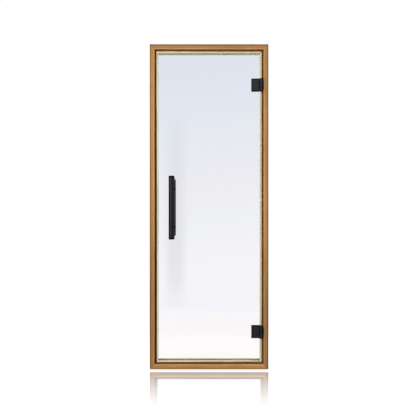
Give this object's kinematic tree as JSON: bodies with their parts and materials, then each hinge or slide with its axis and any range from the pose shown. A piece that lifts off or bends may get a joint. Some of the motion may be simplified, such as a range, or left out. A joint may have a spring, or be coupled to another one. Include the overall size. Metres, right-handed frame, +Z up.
{
  "type": "sauna door",
  "caption": "Frameless clear glass leaf on two black clamp hinges in a mitred softwood frame, with a vertical bar handle on both sides.",
  "frame": {"origin": "centre of the sill's underside, at the middle of the frame's depth", "axes": "+X towards the hinge side seen from outside, +Y into the sauna, +Z up"},
  "size_m": [0.69, 0.136, 1.89],
  "materials": {
    "frame_wood": "planed softwood, oiled",
    "glass": "clear toughened glass, polished",
    "seal": "matt silicone",
    "hinge_black": "black powder coat, satin",
    "handle_black": "black powder coat, satin",
    "pad": "matt rubber",
    "washer": "matt nylon"
  },
  "bodies": {
    "frame": {"latch_jamb": "frame_wood", "head": "frame_wood", "hinge_jamb": "frame_wood", "sill": "frame_wood", "seal_latch_jamb": "seal", "seal_head": "seal", "seal_hinge_jamb": "seal", "seal_sill": "seal", "hinge_bottom_frame_leaf": "hinge_black", "hinge_bottom_pin": "hinge_black", "hinge_top_frame_leaf": "hinge_black", "hinge_top_pin": "hinge_black"},
    "leaf": {"glass": "glass", "hinge_bottom_outer_clamp": "hinge_black", "hinge_bottom_inner_clamp": "hinge_black", "hinge_bottom_outer_pad": "pad", "hinge_bottom_inner_pad": "pad", "hinge_bottom_washer": "washer", "hinge_top_outer_clamp": "hinge_black", "hinge_top_inner_clamp": "hinge_black", "hinge_top_outer_pad": "pad", "hinge_top_inner_pad": "pad", "hinge_top_washer": "washer", "handle_outer_grip": "handle_black", "handle_outer_rail": "handle_black", "handle_outer_pad": "pad", "handle_inner_grip": "handle_black", "handle_inner_rail": "handle_black", "handle_inner_pad": "pad"}
  },
  "joints": [
    {"name": "leaf_swing", "type": "hinge", "parent": "frame", "child": "leaf", "pos_m": [0.304, -0.052, 0.945], "axis": [0, 0, 1], "range_deg": [0, 170]}
  ]
}
